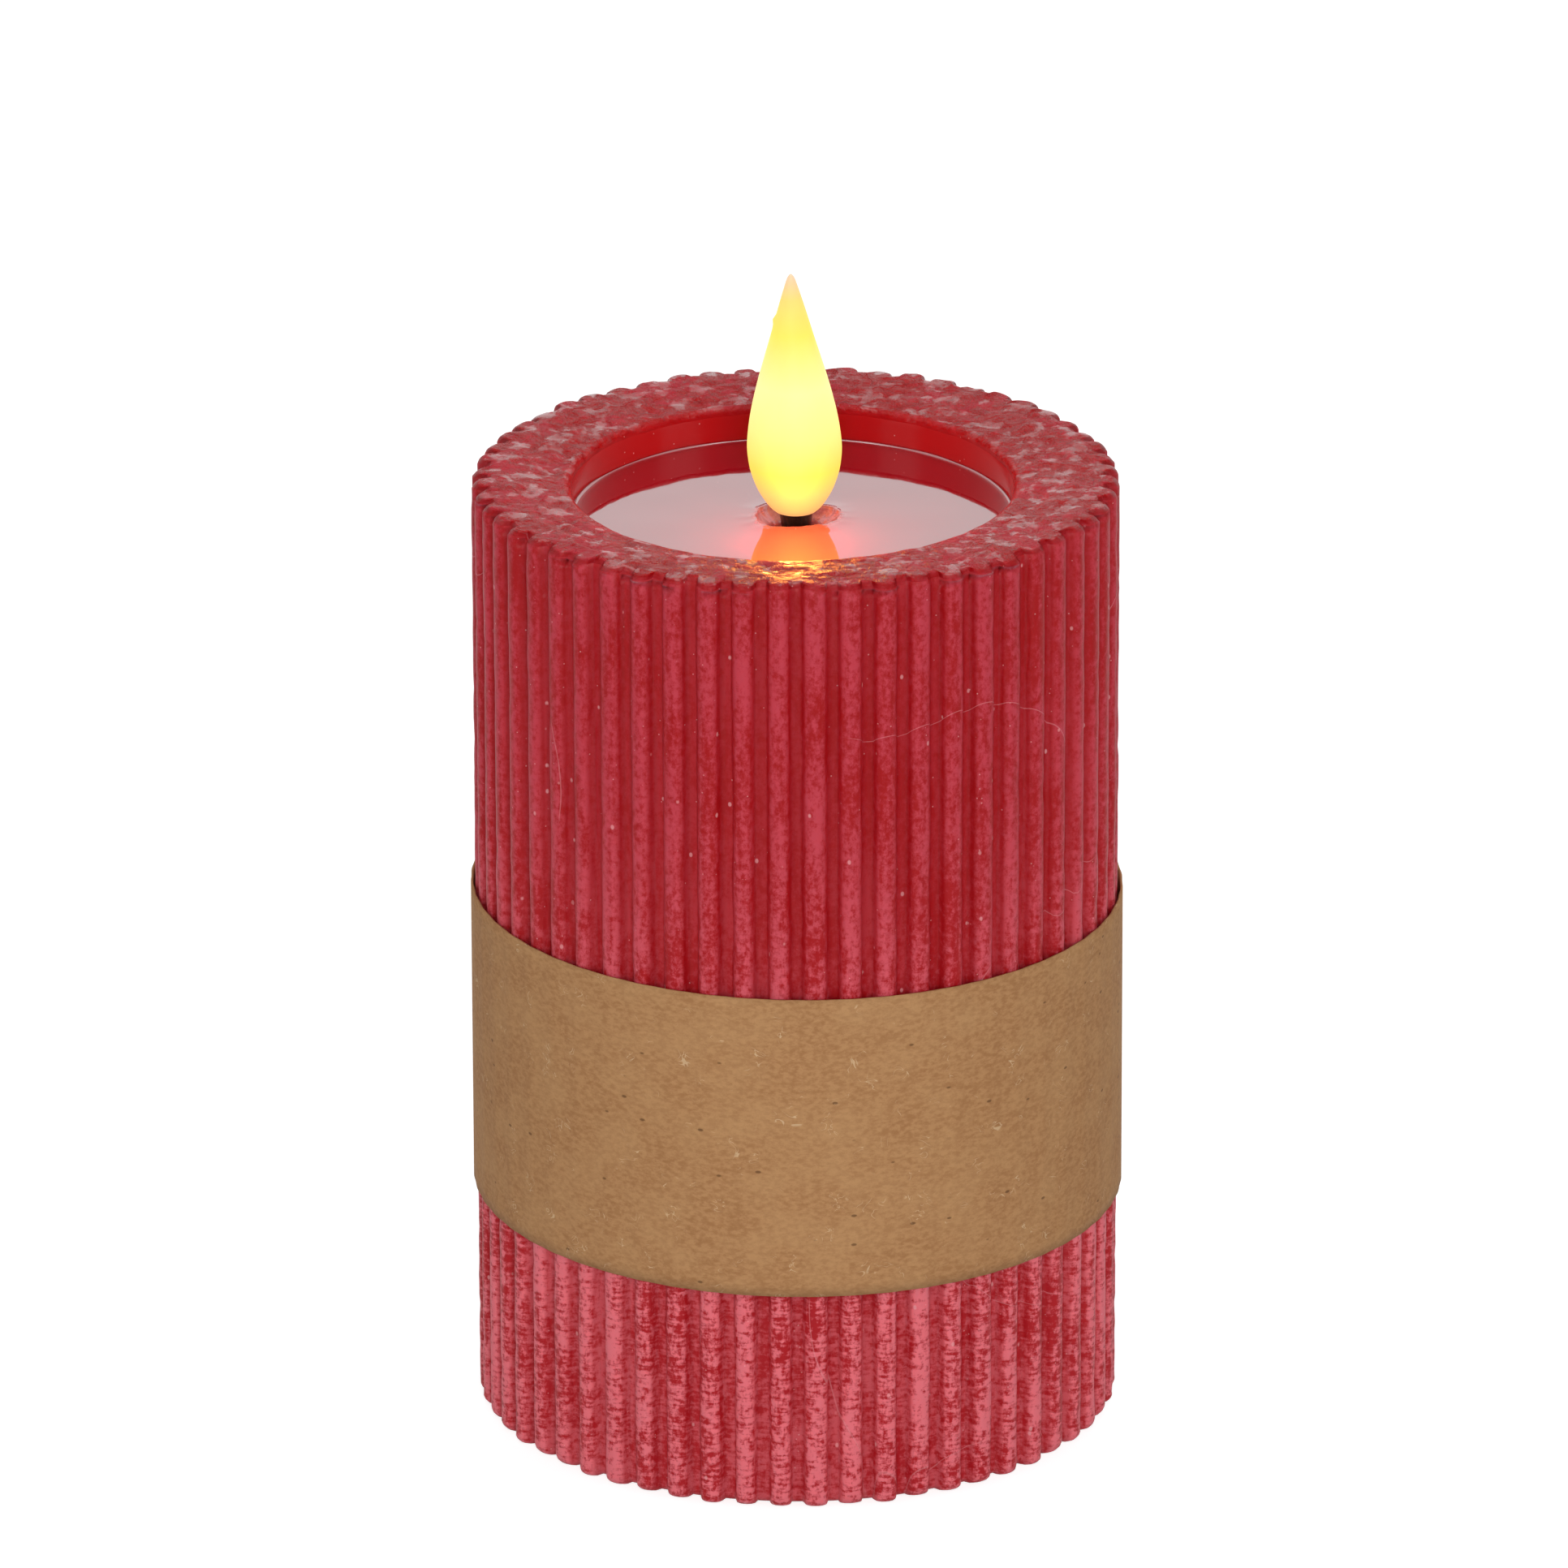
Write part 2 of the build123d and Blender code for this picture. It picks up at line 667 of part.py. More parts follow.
# ---- Wires ------------------------------------------------------------------------------
def make_wire(name, points):
    """A wire along straight runs joined by tangent arcs, each as large as its runs allow."""
    spots = [Vector(p) for p in points]
    arcs = []
    for before, here, after in zip(spots, spots[1:], spots[2:]):
        turn = radians((here - before).get_angle(after - here))
        shorter = min((here - before).length, (after - here).length)
        arcs.append(0.45 * shorter / tan(turn / 2))
    with BuildPart() as wire:
        with BuildLine():
            route = FilletPolyline(*points, radius=arcs)
        with BuildSketch(Plane(route @ 0, z_dir=route % 0)):
            Circle(wire_r)
        sweep(path=route)
    ratio = wire.part.volume / (pi * wire_r**2 * route.length)
    print(name, "length", round(route.length, 1), "arc radii", [round(a, 1) for a in arcs],
          "volume ratio", round(ratio, 4))
    save(wire.part, name)


board_back = well_y + board_y / 2
for name, x, lane in (("switch_wire_on", -pin_pitch, -4.5), ("switch_wire_timer", pin_pitch, 4.5)):
    make_wire(name, [
        (x, switch_y, pin_top),
        (x * 1.2, switch_y + 0.6, pin_top + 20),
        (x * 1.5, switch_y - 0.4, board_z - 12),
        (lane, switch_y - 2, board_top),
        (lane, switch_y - 5, board_top + 6),
        (lane, board_back - 0.5, board_top + 6.5),
        (lane, board_back - 3, board_top + 4),
        (lane, board_back - 3.2, board_top + touch),
    ])
for name, side in (("led_wire_red", 1), ("led_wire_black", -1)):
    make_wire(name, [
        (side * 2.0, well_y + 1.5, board_top + touch),
        (side * 2.4, well_y + 1.0, board_top + 8),
        (side * 3.4, well_y + 3.5, board_top + 17),
        (side * 2.0, -0.4, led_end - 6),
        (side * 0.7, 0, led_end),
    ])
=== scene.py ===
import json
import math
import random

import bpy
import numpy as np
from mathutils import Matrix, Vector, noise


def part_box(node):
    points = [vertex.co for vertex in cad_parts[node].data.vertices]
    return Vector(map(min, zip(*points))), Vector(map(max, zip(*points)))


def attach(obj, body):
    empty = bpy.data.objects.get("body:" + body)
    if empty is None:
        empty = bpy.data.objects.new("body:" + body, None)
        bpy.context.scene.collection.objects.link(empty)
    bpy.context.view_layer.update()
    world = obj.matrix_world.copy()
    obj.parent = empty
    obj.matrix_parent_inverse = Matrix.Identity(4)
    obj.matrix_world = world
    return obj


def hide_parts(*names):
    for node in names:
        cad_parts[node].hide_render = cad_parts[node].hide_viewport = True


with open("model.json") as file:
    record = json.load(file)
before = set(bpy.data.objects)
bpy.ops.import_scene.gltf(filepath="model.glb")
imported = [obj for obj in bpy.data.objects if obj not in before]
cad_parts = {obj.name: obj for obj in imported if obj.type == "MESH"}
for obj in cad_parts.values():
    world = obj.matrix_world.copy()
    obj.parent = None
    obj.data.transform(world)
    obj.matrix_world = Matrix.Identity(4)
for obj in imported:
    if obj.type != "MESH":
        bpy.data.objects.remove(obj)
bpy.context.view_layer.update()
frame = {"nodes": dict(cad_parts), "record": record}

# Shapes are worked out in millimetres, and turned to metres as each mesh is made.
MM = 0.001
FULL = 2 * math.pi
GLUE_GAP = 0.3
POOL_GAP = 0.05  # between the pool layer and the wall of the recess


# ---- Places, read from the frame --------------------------------------------------------
def low_mm(node):
    """The low corner of a CAD node's box, in millimetres."""
    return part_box(node)[0] / MM


def high_mm(node):
    """The high corner of a CAD node's box, in millimetres."""
    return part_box(node)[1] / MM


RIBS = 56
PILLAR_TOP = high_mm("wax_pillar").z
CREST_R = high_mm("wax_pillar").y
POOL_Z = high_mm("pool_disc").z
POOL_LOW = low_mm("pool_disc").z
RECESS_R = (high_mm("pool_disc").y - low_mm("pool_disc").y) / 2 + POOL_GAP
RECESS_X = (high_mm("pool_disc").x + low_mm("pool_disc").x) / 2
BORE_R = high_mm("core_housing").y + GLUE_GAP
LEDGE_R = high_mm("battery_base").y + GLUE_GAP
LEDGE_Z = low_mm("core_housing").z
BAND_LOW = low_mm("kraft_band").z
BAND_TOP = high_mm("kraft_band").z
BAND_OUT = high_mm("kraft_band").x
BAND_THICK = 0.25
FLAME_LOW = low_mm("flame_shell").z
FLAME_TOP = high_mm("flame_shell").z
STEM_LOW = low_mm("flame_stem").z
STEM_TOP = high_mm("flame_stem").z
STEM_R = high_mm("flame_stem").x


# ---- Camera -----------------------------------------------------------------------------
CAMERA_PLACE = Vector((-1.47, -1666.6, 726.1)) * MM
CAMERA_DOWN = 0.3723  # radians below the horizon
CAMERA_ROLL = -0.00257


def add_camera():
    lens = bpy.data.cameras.new("view_camera")
    lens.sensor_width = 36.0
    lens.lens = 354.4
    lens.clip_start, lens.clip_end = 0.1, 20.0
    camera = bpy.data.objects.new("view_camera", lens)
    bpy.context.scene.collection.objects.link(camera)
    camera.location = CAMERA_PLACE
    tilt = Matrix.Rotation(math.pi / 2 - CAMERA_DOWN, 3, "X")
    camera.rotation_euler = (tilt @ Matrix.Rotation(CAMERA_ROLL, 3, "Z")).to_euler()
    bpy.context.scene.camera = camera


add_camera()


# ---- Building meshes and materials ------------------------------------------------------
def wobble(x, y, z, size, seed=0.0):
    """Smooth noise from -1 to 1 with features about size millimetres across."""
    return noise.noise(Vector((x / size + seed * 17.3, y / size - seed * 9.1, z / size + seed * 4.7)))


def smooth(value, low, high):
    """0 up to low and 1 from high on, with a smooth change between."""
    t = min(1.0, max(0.0, (value - low) / (high - low)))
    return t * t * (3 - 2 * t)


def make_piece(name, points, faces, body, slot, replaced):
    """A smooth mesh from points in millimetres, which takes a CAD node's place on its body."""
    mesh = bpy.data.meshes.new(name)
    mesh.from_pydata([tuple(c * MM for c in p) for p in points], [], faces)
    mesh.validate()
    mesh.polygons.foreach_set("use_smooth", [True] * len(mesh.polygons))
    mesh.update()
    piece = bpy.data.objects.new(name, mesh)
    bpy.context.scene.collection.objects.link(piece)
    mesh.materials.append(materials[slot])
    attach(piece, body)
    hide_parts(replaced)
    return piece


def ring_faces(rows, columns):
    """Quads over rows of points that each run once round, with the last row joined to the first."""
    faces = []
    for i in range(rows):
        j = (i + 1) % rows
        for k in range(columns):
            m = (k + 1) % columns
            faces.append((i * columns + k, i * columns + m, j * columns + m, j * columns + k))
    return faces


def ring_piece(name, columns, attributes, slot, replaced):
    """A closed ring-shaped piece of the candle, from its outline at each angle in turn.

    Each outline is a list of ((x, y, z), one amount for each attribute).
    """
    rows = len(columns[0])
    ordered = [column[i] for i in range(rows) for column in columns]
    faces = ring_faces(rows, len(columns))
    piece = make_piece(name, [p[0] for p in ordered], faces, "candle", slot, replaced)
    for index, attribute in enumerate(attributes, 1):
        layer = piece.data.attributes.new(attribute, "FLOAT", "POINT")
        layer.data.foreach_set("value", np.asarray([p[index] for p in ordered], np.float32))


class Graph:
    """A material's nodes, added one by one."""

    def __init__(self, name):
        self.material = bpy.data.materials.new(name)
        self.material.use_nodes = True
        self.tree = self.material.node_tree
        self.tree.nodes.clear()
        self.place = self.add("TexCoord").outputs["Object"]

    def add(self, kind, inputs=None, **settings):
        node = self.tree.nodes.new("ShaderNode" + kind)
        for key, value in settings.items():
            setattr(node, key, value)
        for key, value in (inputs or {}).items():
            if isinstance(value, bpy.types.NodeSocket):
                self.tree.links.new(value, node.inputs[key])
            else:
                node.inputs[key].default_value = value
        return node

    def math(self, operation, a, b=0.0, clamp=False):
        return self.add("Math", {0: a, 1: b}, operation=operation, use_clamp=clamp).outputs[0]

    def times(self, a, b):
        return self.math("MULTIPLY", a, b)

    def plus(self, a, b):
        return self.math("ADD", a, b)

    def ease(self, value, low, high, start=0.0, end=1.0):
        """start below low, end above high, with a smooth change between."""
        inputs = {0: value, 1: low, 2: high, 3: start, 4: end}
        return self.add("MapRange", inputs, interpolation_type="SMOOTHSTEP").outputs[0]

    def about(self, value, middle=0.5):
        """How far a value lies above the middle."""
        return self.math("SUBTRACT", value, middle)

    def near(self, value, middle, far, close):
        """1 where a value is within close of the middle, and 0 beyond far: a thin contour line."""
        return self.ease(self.math("ABSOLUTE", self.about(value, middle)), far, close)

    def mix(self, factor, a, b):
        return self.add("Mix", {0: factor, 6: a, 7: b}, data_type="RGBA").outputs[2]

    def stretch(self, size):
        """Object coordinates divided by a size in millimetres along each axis."""
        scale = tuple(1 / (s * MM) for s in size)
        return self.add("VectorMath", {0: self.place, 1: scale}, operation="MULTIPLY").outputs[0]

    def noise(self, size, detail=3.0, rough=0.5, twist=0.0):
        inputs = {"Vector": self.stretch(size), "Scale": 1.0, "Detail": detail, "Roughness": rough}
        return self.add("TexNoise", {**inputs, "Distortion": twist}).outputs[0]

    def specks(self, size, radius, rarity, channel=0):
        """Small round specks, one in each cell of a size in millimetres that chance picks.

        radius is where a speck has faded out and where it is full, as shares of the cell, and
        rarity is the same for the share of cells that stay empty.
        """
        cell = self.add("TexVoronoi", {"Vector": self.stretch(size), "Scale": 1.0}).outputs
        chance = self.add("SeparateColor", {0: cell["Color"]}).outputs[channel]
        return self.times(self.ease(cell["Distance"], *radius), self.ease(chance, *rarity))

    def attribute(self, name):
        """An amount that the mesh carries at each of its points."""
        return self.add("Attribute", attribute_name=name).outputs["Fac"]

    def height(self):
        return self.add("SeparateXYZ", {0: self.place}).outputs["Z"]

    def bump(self, value, distance_mm, strength=1.0, normal=None):
        inputs = {"Height": value, "Distance": distance_mm * MM, "Strength": strength}
        if normal is not None:
            inputs["Normal"] = normal
        return self.add("Bump", inputs).outputs[0]

    def finish(self, **inputs):
        named = {key.replace("_", " "): value for key, value in inputs.items()}
        shader = self.add("BsdfPrincipled", named)
        self.add("OutputMaterial", {"Surface": shader.outputs[0]})
        return self.material


def rgb(red, green, blue):
    """A display colour, 0 to 255, as linear RGBA."""
    values = [c / 255 for c in (red, green, blue)]
    return tuple(c / 12.92 if c <= 0.04045 else ((c + 0.055) / 1.055) ** 2.4 for c in values) + (1.0,)


# ---- Materials --------------------------------------------------------------------------
def wax_material():
    """Red wax: frosted on the ribs, clear and glossy where it was melted at the rim and recess."""
    g = Graph("red_wax")
    crest = g.attribute("crest")
    rim = g.attribute("rim")
    well = g.attribute("well")
    z = g.height()
    lower = g.ease(z, 0.100, 0.020)
    # Frost: a bloom of fine crystals on the crests, in upright streaks, with cross marks lower down.
    grains = g.noise((0.75, 0.75, 0.9), 5.0, 0.72)
    streaks = g.noise((0.8, 0.8, 7.0), 3.0, 0.55)
    patches = g.noise((9.0, 9.0, 16.0), 2.0, 0.5)
    dashes = g.noise((1.6, 1.6, 0.38), 2.0, 0.5)
    bloom = g.plus(g.times(grains, 0.72), g.times(streaks, 0.28))
    bloom = g.plus(bloom, g.times(g.times(g.about(dashes), lower), 0.42))
    bloom = g.plus(bloom, g.times(g.about(patches), 0.35))
    spread = g.ease(bloom, 0.38, 0.62)
    reach = g.plus(g.times(g.ease(crest, 0.40, 1.0), 0.58), g.ease(lower, 0.0, 1.0, 0.24, 0.36))
    amount = g.times(g.times(spread, reach), g.ease(lower, 0.0, 1.0, 0.72, 1.35))
    off_rim = g.math("SUBTRACT", 1.0, g.math("MAXIMUM", rim, well))
    amount = g.times(amount, off_rim)
    # The rim was melted and set again: clear and dark, with pale crusts.
    crust = g.noise((1.0, 1.0, 1.0), 5.0, 0.70, 0.5)
    broad = g.noise((7.0, 7.0, 7.0), 2.0, 0.5)
    clumps = g.plus(crust, g.times(g.about(broad), 0.7))
    rim_frost = g.times(g.ease(clumps, 0.50, 0.62), rim)
    amount = g.math("MAXIMUM", amount, g.times(rim_frost, 0.34), clamp=True)
    deep = g.mix(g.ease(z, 0.0, 0.112), rgb(176, 22, 32), rgb(166, 6, 14))
    deep = g.mix(g.math("MAXIMUM", rim, well), deep, rgb(176, 0, 4))
    pale = g.mix(lower, rgb(212, 78, 96), rgb(234, 118, 128))
    colour = g.mix(amount, deep, pale)
    # Flakes and painted glints: a few specks, paler than the bloom; the glint specks are painted
    # highlights, not flakes.
    flake = g.times(g.specks((1.5, 1.5, 2.1), (0.17, 0.09), (0.86, 0.90)), off_rim)
    colour = g.mix(g.times(flake, 0.6), colour, rgb(236, 170, 172))
    # Painted highlights: small pale specks that stand in for glints of light on the wax.
    painted_glint = g.specks((0.55, 0.55, 0.55), (0.20, 0.10), (0.93, 0.96), 1)
    colour = g.mix(g.times(painted_glint, 0.45), colour, rgb(240, 190, 190))
    # Hairlines: a few long curved marks left by handling.
    hair = g.near(g.noise((34.0, 34.0, 26.0), 0.0, 0.5), 0.56, 0.0016, 0.0005)
    hair = g.times(g.times(hair, off_rim), g.ease(g.noise((15.0, 15.0, 15.0), 0.0, 0.5), 0.52, 0.60))
    colour = g.mix(g.times(hair, 0.35), colour, rgb(226, 150, 156))
    rough = g.plus(g.times(amount, 0.16), 0.46)
    rough = g.mix(rim, rough, g.plus(g.times(rim_frost, 0.30), 0.26))
    rough = g.mix(well, rough, (0.20, 0.20, 0.20, 1.0))
    fine = g.plus(g.times(grains, 0.6), g.times(g.times(dashes, lower), 0.5))
    normal = g.bump(g.times(fine, off_rim), 0.16, 0.55)
    lumps = g.plus(g.noise((1.9, 1.9, 1.9), 3.0, 0.55, 0.8), g.times(crust, 0.30))
    normal = g.bump(g.times(lumps, rim), 1.3, 1.0, normal)
    gloss = g.ease(g.noise((2.4, 2.4, 2.4), 4.0, 0.6), 0.53, 0.60, 0.0, 0.9)
    return g.finish(
        Base_Color=colour,
        Roughness=rough,
        Normal=normal,
        IOR=1.3,
        Subsurface_Weight=0.35,
        Subsurface_Radius=(1.0, 0.20, 0.16),
        Subsurface_Scale=0.0022,
        Coat_Weight=g.times(rim, gloss),
        Coat_Roughness=0.06,
    )


def pool_material():
    """The poured layer: mirror-like with a few motes of dust, and rough wax in the crater."""
    g = Graph("pool_wax")
    crater = g.attribute("crater")
    crust = g.noise((0.7, 0.7, 0.7), 4.0, 0.65)
    haze = g.noise((6.0, 6.0, 6.0), 3.0, 0.6)
    base = g.mix(haze, rgb(150, 10, 26), rgb(164, 22, 38))
    rough_wax = g.mix(crust, rgb(140, 6, 16), rgb(214, 120, 128))
    colour = g.mix(crater, base, rough_wax)
    mote = g.specks((0.9, 0.9, 0.9), (0.085, 0.05), (0.90, 0.93))
    colour = g.mix(g.times(mote, 0.8), colour, rgb(244, 214, 214))
    dents = g.plus(g.noise((5.0, 5.0, 5.0), 2.0, 0.5), g.times(mote, 0.3))
    normal = g.bump(dents, 0.02, 0.6)
    normal = g.bump(g.times(crust, crater), 0.5, 0.7, normal)
    rough = g.plus(g.times(crater, 0.32), g.times(haze, 0.10))
    return g.finish(
        Base_Color=colour,
        Roughness=rough,
        Normal=normal,
        IOR=1.9,
        Coat_Weight=1.0,
        Coat_Roughness=0.03,
        Coat_IOR=1.8,
    )


def kraft_material():
    """Brown kraft paper, bare of print."""
    g = Graph("kraft_paper")
    pulp = g.noise((0.9, 0.9, 0.5), 5.0, 0.62)
    cloud = g.noise((7.0, 7.0, 5.0), 3.0, 0.55)
    grain = g.noise((0.22, 0.22, 0.16), 2.0, 0.6)
    colour = g.mix(g.ease(pulp, 0.34, 0.66), rgb(164, 116, 73), rgb(185, 138, 92))
    colour = g.mix(g.times(g.ease(cloud, 0.35, 0.7), 0.35), colour, rgb(196, 152, 104))
    colour = g.mix(g.times(g.ease(grain, 0.55, 0.75), 0.30), colour, rgb(158, 112, 70))
    # Shives: short dark bits in the pulp, and long pale fibres.
    shive = g.specks((2.2, 2.2, 1.1), (0.20, 0.10), (0.86, 0.90))
    colour = g.mix(g.times(shive, 0.75), colour, rgb(96, 62, 36))
    fibre = g.near(g.noise((3.2, 3.2, 2.4), 1.0, 0.5, 2.4), 0.5, 0.016, 0.005)
    fibre = g.times(fibre, g.ease(g.noise((2.6, 2.6, 2.6), 1.0, 0.5), 0.60, 0.68))
    colour = g.mix(g.times(fibre, 0.55), colour, rgb(226, 196, 156))
    normal = g.bump(g.plus(g.times(pulp, 0.7), g.times(grain, 0.5)), 0.05, 0.45)
    rough = g.plus(g.times(pulp, 0.14), 0.78)
    return g.finish(Base_Color=colour, Roughness=rough, Normal=normal, IOR=1.4)


def flame_material():
    """Milky plastic lit from inside: peach at the foot, pale yellow in the belly, pink at the tip."""
    g = Graph("flame_plastic")
    risen = g.about(g.height(), FLAME_LOW * MM)
    ramp = g.add("ValToRGB", {0: g.math("DIVIDE", risen, (FLAME_TOP - FLAME_LOW) * MM)})
    stops = [
        (0.00, rgb(238, 176, 112)),
        (0.10, rgb(248, 206, 118)),
        (0.20, rgb(253, 232, 92)),
        (0.36, rgb(255, 252, 150)),
        (0.54, rgb(255, 252, 176)),
        (0.76, rgb(255, 236, 96)),
        (0.90, rgb(253, 216, 120)),
        (1.00, rgb(250, 196, 186)),
    ]
    elements = ramp.color_ramp.elements
    while len(elements) < len(stops):
        elements.new(0.5)
    for element, (place, colour) in zip(elements, stops):
        element.position, element.color = place, colour
    cloud = g.noise((3.0, 3.0, 5.0), 2.0, 0.5)
    milk = g.mix(g.times(cloud, 0.3), rgb(176, 132, 60), rgb(196, 158, 96))
    return g.finish(
        Base_Color=milk,
        Roughness=0.55,
        IOR=1.3,
        Emission_Color=ramp.outputs[0],
        Emission_Strength=g.plus(g.times(cloud, 0.10), 0.80),
        Subsurface_Weight=0.25,
        Subsurface_Radius=(1.0, 0.7, 0.3),
        Subsurface_Scale=0.002,
    )


def plastic_material(name, colour, paler, rough, grain_mm=0.35, depth_mm=0.02):
    """Moulded plastic: a fine sparked texture with faint flow marks and scuffs."""
    g = Graph(name)
    spark = g.noise((grain_mm,) * 3, 3.0, 0.6)
    flow = g.noise((14.0, 9.0, 20.0), 3.0, 0.55, 0.6)
    scuff = g.ease(g.noise((0.6, 6.0, 3.0), 3.0, 0.6), 0.62, 0.74)
    tone = g.mix(g.plus(g.times(flow, 0.6), g.times(spark, 0.3)), colour, paler)
    tone = g.mix(g.times(scuff, 0.25), tone, paler)
    return g.finish(
        Base_Color=tone,
        Roughness=g.plus(g.times(spark, 0.14), g.plus(g.times(scuff, 0.08), rough)),
        Normal=g.bump(spark, depth_mm, 0.6),
        IOR=1.5,
    )


def metal_material(name, colour, rough, brushed_mm=(0.3, 0.3, 4.0)):
    """Plated metal: fine drawn lines, dulled in patches."""
    g = Graph(name)
    lines = g.noise(brushed_mm, 3.0, 0.6)
    dull = g.noise((3.5, 3.5, 3.5), 3.0, 0.6)
    darker = tuple(c * 0.62 for c in colour[:3]) + (1.0,)
    return g.finish(
        Base_Color=g.mix(g.ease(dull, 0.35, 0.75), colour, darker),
        Metallic=1.0,
        Roughness=g.plus(g.times(lines, 0.16), g.plus(g.times(dull, 0.12), rough)),
        Normal=g.bump(lines, 0.01, 0.5),
    )


def board_material():
    """Green solder mask over copper tracks."""
    g = Graph("board_green")
    black, white = (0, 0, 0, 1), (1, 1, 1, 1)
    colours = {"Color1": black, "Color2": black, "Mortar": white}
    grid = {"Vector": g.stretch((1, 1, 1)), "Scale": 0.22, "Mortar Size": 0.055, "Bias": 0.0}
    tracks = g.add("TexBrick", {**colours, **grid}).outputs[0]
    weave = g.noise((0.5, 0.5, 0.5), 3.0, 0.5)
    base = g.mix(weave, rgb(12, 74, 38), rgb(18, 92, 48))
    colour = g.mix(g.times(tracks, 0.6), base, rgb(40, 128, 66))
    return g.finish(
        Base_Color=colour,
        Roughness=g.plus(g.times(weave, 0.1), 0.28),
        Normal=g.bump(tracks, 0.03, 0.6),
        IOR=1.5,
        Coat_Weight=0.4,
        Coat_Roughness=0.15,
    )


CELL_CAP = 1.9  # bare metal at each end of a cell, its button included


def cell_material():
    """A cell's printed sleeve, bare of words: dark with one pale band, between metal ends."""
    g = Graph("cell_sleeve")
    z = g.height()
    low_cap = (low_mm("aa_cell_right").z + CELL_CAP) * MM
    high_cap = (high_mm("aa_cell_left").z - CELL_CAP) * MM
    sheen = g.noise((3.0, 3.0, 12.0), 2.0, 0.5)
    dark = g.mix(sheen, rgb(30, 34, 38), rgb(44, 50, 56))
    band = g.times(g.ease(z, 0.038, 0.0382), g.ease(z, 0.0502, 0.05))
    colour = g.mix(band, dark, g.mix(sheen, rgb(196, 124, 40), rgb(214, 146, 60)))
    bottom = g.ease(z, low_cap, low_cap - 0.0001)
    ends = g.math("MAXIMUM", bottom, g.ease(z, high_cap, high_cap + 0.0001))
    colour = g.mix(ends, colour, rgb(196, 196, 194))
    return g.finish(
        Base_Color=colour,
        Metallic=ends,
        Roughness=g.plus(g.times(sheen, 0.12), 0.2),
        Normal=g.bump(sheen, 0.01, 0.4),
        IOR=1.5,
    )


materials = {
    "red_wax": wax_material(),
    "pool_wax": pool_material(),
    "kraft_paper": kraft_material(),
    "flame_plastic": flame_material(),
    "clear_led": plastic_material("clear_led", rgb(250, 236, 190), rgb(255, 248, 222), 0.1, 0.8, 0.005),
    "black_abs": plastic_material("black_abs", rgb(22, 22, 23), rgb(48, 48, 50), 0.42),
    "black_gloss": plastic_material("black_gloss", rgb(10, 9, 9), rgb(26, 20, 18), 0.06, 0.9, 0.01),
    "spring_steel": metal_material("spring_steel", rgb(206, 204, 198), 0.18),
    "screw_steel": metal_material("screw_steel", rgb(176, 174, 168), 0.24, (0.2, 0.2, 0.2)),
    "cell_sleeve": cell_material(),
    "board_green": board_material(),
    "chip_black": plastic_material("chip_black", rgb(24, 24, 26), rgb(44, 44, 47), 0.38),
    "can_metal": metal_material("can_metal", rgb(200, 201, 204), 0.2, (0.2, 0.2, 3.0)),
    "resistor_black": plastic_material("resistor_black", rgb(18, 18, 20), rgb(40, 40, 42), 0.3),
    "wire_red": plastic_material("wire_red", rgb(178, 22, 22), rgb(206, 48, 44), 0.34, 0.5),
    "wire_black": plastic_material("wire_black", rgb(16, 16, 17), rgb(38, 38, 40), 0.34, 0.5),
    "wire_white": plastic_material("wire_white", rgb(214, 213, 206), rgb(232, 231, 226), 0.36, 0.5),
    "lead_tin": metal_material("lead_tin", rgb(204, 205, 204), 0.22),
}
for subpart in frame["record"]["subparts"]:
    node = frame["nodes"][subpart["node"]]
    node.data.materials.clear()
    node.data.materials.append(materials[subpart["material_slot"]])


# ---- Wax pillar -------------------------------------------------------------------------
# Each rib differs a little: half its crest's width as a share of the pitch, its crest's rise, and
# how much its lower and upper ends are worn.
rng = random.Random(56)
rib_width = [0.325 + rng.uniform(-0.02, 0.02) for _ in range(RIBS)]
rib_rise = [rng.uniform(-0.10, 0.06) for _ in range(RIBS)]
rib_foot = [rng.uniform(0.0, 0.7) for _ in range(RIBS)]
rib_head = [rng.uniform(-0.5, 0.25) for _ in range(RIBS)]
# Where the outline is taken across each rib's pitch, closest where the crest falls to the groove.
RIB_STEPS = (-0.47, -0.39, -0.34, -0.305, -0.25, -0.15, -0.05, 0.06, 0.17, 0.26, 0.31, 0.36)
CREST_START = -math.pi / 2 + math.pi / RIBS  # a groove lies at the very front
OUTER_R = CREST_R - 0.12  # mean radius of the crests, which leaves room for their unevenness
GROOVE_DEEP = 1.52
GROOVE_LOSS = 0.30  # how much shallower the grooves are at the top


def rib_shape(rib, t, z):
    """0 in the groove and 1 on the crest, for t from -0.5 to 0.5 across the rib's pitch."""
    drift = 0.012 * wobble(rib * 3.1, 0, z, 11.0)
    half = rib_width[rib] + 0.018 * wobble(rib * 5.7, 40, z, 5.0)
    across = abs(t - drift) / half
    return (1 - across**2.6) ** 0.42 if across < 1 else 0.0


def outer_radius(rib, t, angle, z):
    """Radius of the ribbed wall, and how far onto the crest it is."""
    x, y = CREST_R * math.cos(angle), CREST_R * math.sin(angle)
    depth = GROOVE_DEEP - GROOVE_LOSS * smooth(z, 60, PILLAR_TOP)
    crest = rib_shape(rib, t, z)
    uneven = 0.07 * wobble(x, y, z, 2.4, 1) + 0.06 * wobble(x, y, z, 9.0, 2)
    pit = -0.10 * smooth(wobble(x, y, z * 0.7, 1.7, 3), 0.25, 0.6) * crest
    return OUTER_R + rib_rise[rib] * crest - depth * (1 - crest) + uneven + pit, crest


